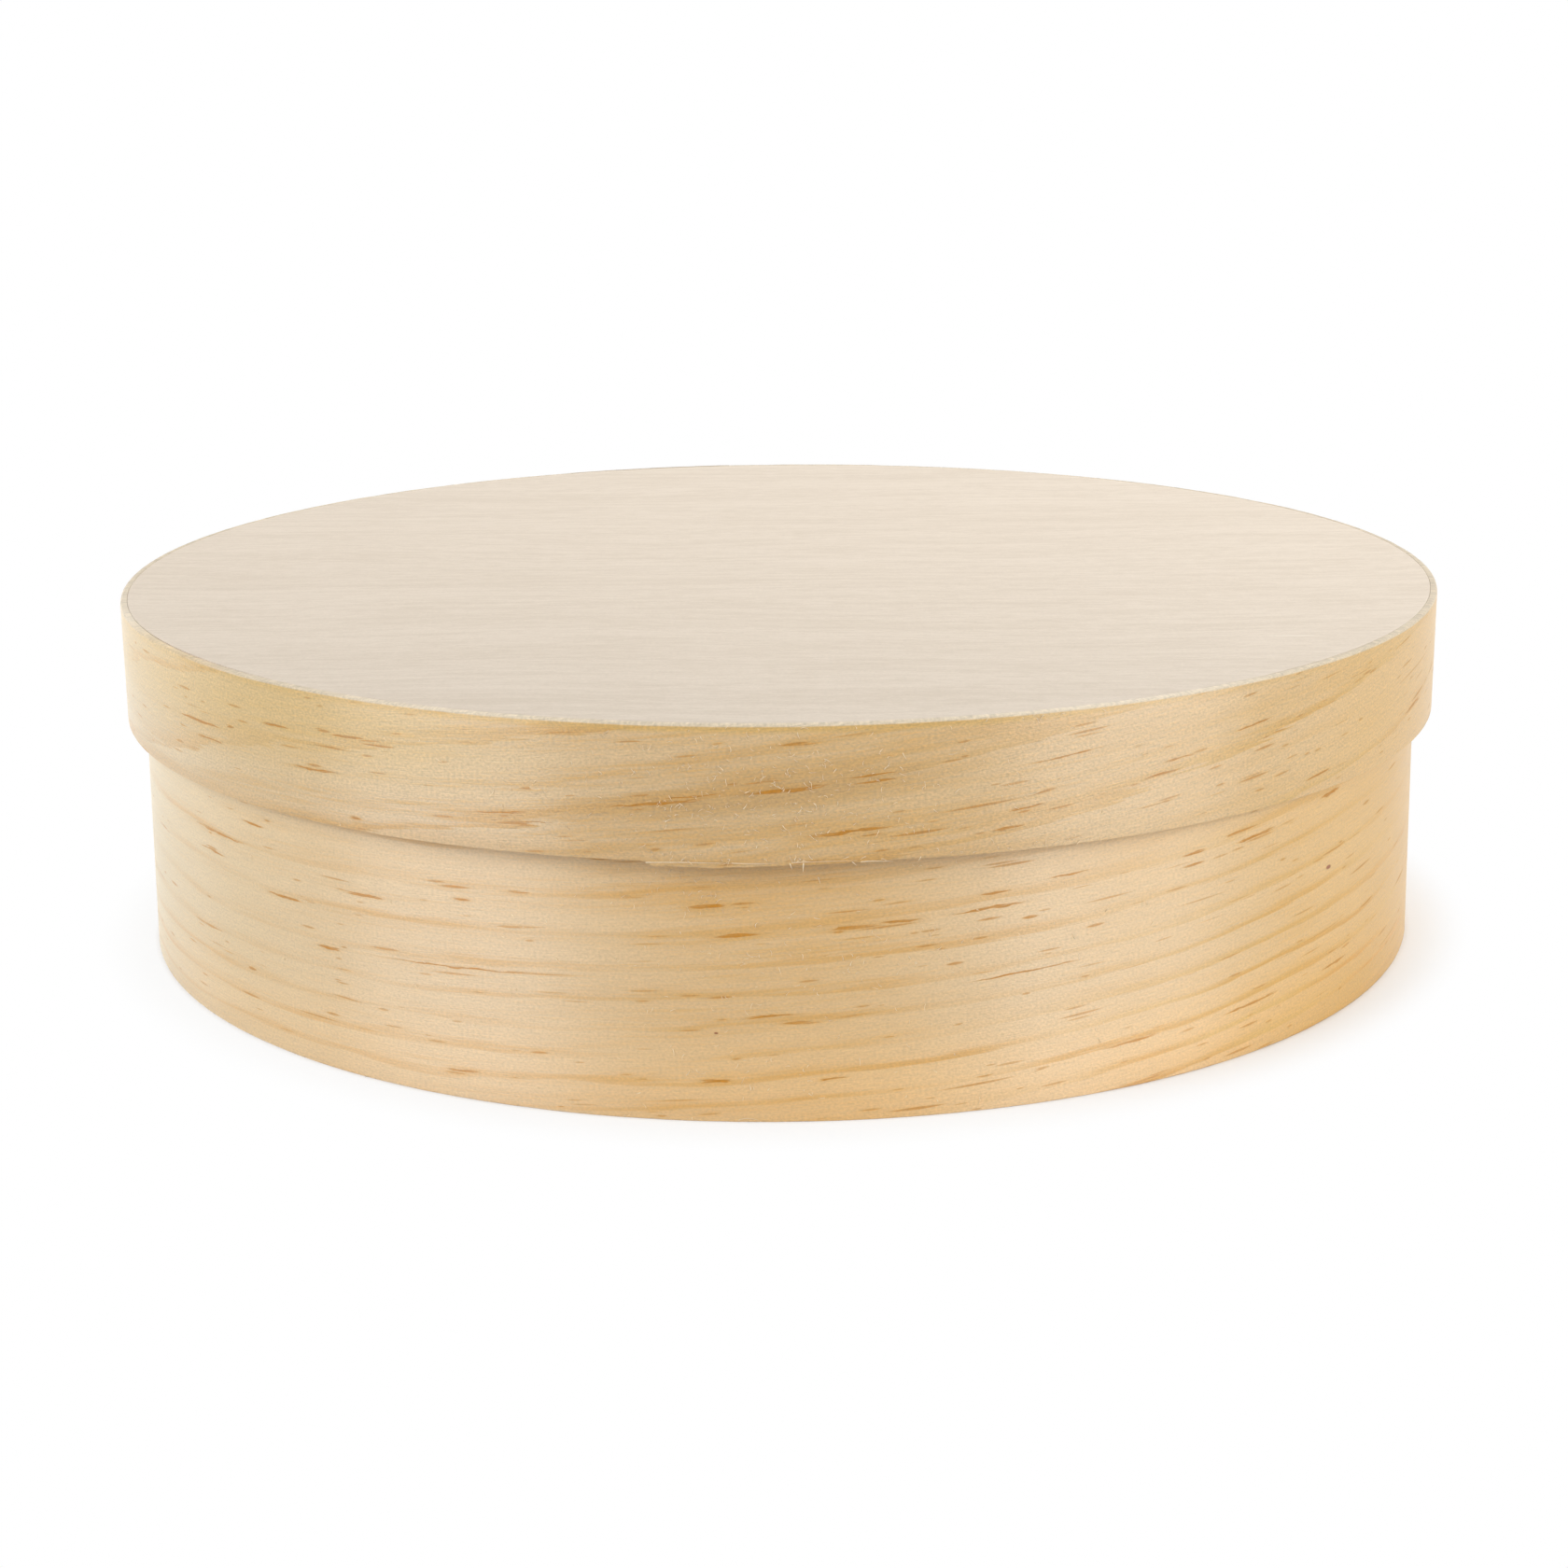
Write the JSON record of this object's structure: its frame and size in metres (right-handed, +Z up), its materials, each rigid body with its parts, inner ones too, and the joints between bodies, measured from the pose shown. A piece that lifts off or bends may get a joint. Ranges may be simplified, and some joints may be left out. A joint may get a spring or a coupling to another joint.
{
  "type": "round bentwood box",
  "caption": "Low round box of bent pine strip with an inset plywood base and a lift-off lid whose strip rim slips down over the wall.",
  "frame": {"origin": "centre of the underside, on the surface that the box stands on", "axes": "+Z up along the axis of the box and the way the lid lifts off, -Y towards the viewer, +X to the right; the glued laps of the strips are at the back, towards +Y"},
  "size_m": [0.2, 0.2, 0.053],
  "materials": {
    "pine": "bare sanded pine, matt",
    "plywood": "bare sanded plywood, matt",
    "glue": "dried wood glue"
  },
  "bodies": {
    "box": {"wall_strip": "pine", "base_disc": "plywood", "wall_lap_glue": "glue", "base_glue_line": "glue"},
    "lid": {"lid_strip": "pine", "lid_disc": "plywood", "lid_lap_glue": "glue", "lid_glue_line": "glue"}
  },
  "joints": [
    {"name": "lid_lift", "type": "slide", "parent": "box", "child": "lid", "axis": [0, 0, 1], "range_m": [0, 0.08]}
  ]
}
